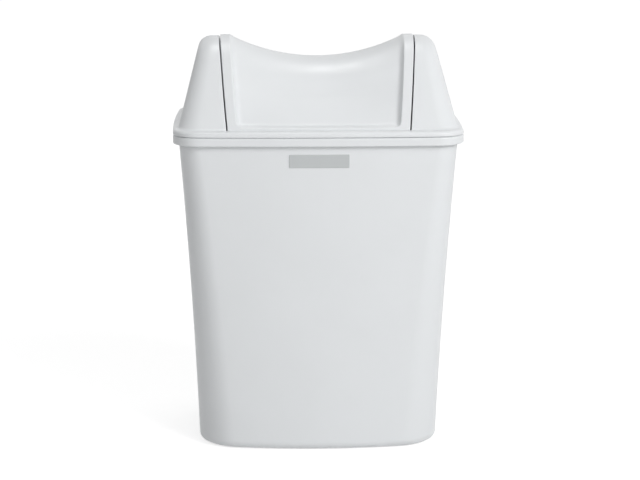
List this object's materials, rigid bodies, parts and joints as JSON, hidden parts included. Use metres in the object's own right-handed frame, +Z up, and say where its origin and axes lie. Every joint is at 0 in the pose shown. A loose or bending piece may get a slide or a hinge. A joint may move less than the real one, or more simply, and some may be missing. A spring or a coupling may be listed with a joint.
{
  "type": "sanitary container",
  "caption": "Free-standing washroom hygiene bin: tapered plastic tub with a turned-over rim, lift-off hood with side towers and a swing flap with a saddle-shaped crest.",
  "frame": {"origin": "on the floor under the middle of the bin, at the undersides of the foot pads", "axes": "+X along the width to the right, the front with the label plate faces -Y, +Z up"},
  "size_m": [0.24, 0.17, 0.341],
  "materials": {
    "shell_plastic": "fine satin moulded",
    "label_plastic": "satin",
    "ring_plastic": "satin moulded",
    "pivot_plastic": "smooth moulded",
    "pad_rubber": "dull"
  },
  "bodies": {
    "bin": {"bin_body": "shell_plastic", "foot_pad_front_left": "pad_rubber", "foot_pad_front_right": "pad_rubber", "foot_pad_rear_left": "pad_rubber", "foot_pad_rear_right": "pad_rubber", "label_plate": "label_plastic"},
    "ring": {"bag_ring": "ring_plastic"},
    "hood": {"hood_shell": "shell_plastic", "pivot_bush_right": "pivot_plastic", "pivot_bush_left": "pivot_plastic"},
    "flap": {"flap_shell": "shell_plastic", "pivot_pin_right": "pivot_plastic", "pivot_pin_left": "pivot_plastic"}
  },
  "joints": [
    {"name": "hood_lift", "type": "slide", "parent": "bin", "child": "hood", "axis": [0, 0, 1], "range_m": [0, 0.15]},
    {"name": "ring_lift", "type": "slide", "parent": "bin", "child": "ring", "axis": [0, 0, 1], "range_m": [0, 0.06]},
    {"name": "flap_swing", "type": "hinge", "parent": "hood", "child": "flap", "pos_m": [0, 0, 0.316], "axis": [1, 0, 0], "range_deg": [-54, 54]}
  ],
  "couplings": [
    {"joint": "ring_lift", "follows": "hood_lift", "ratio": 0.4}
  ]
}
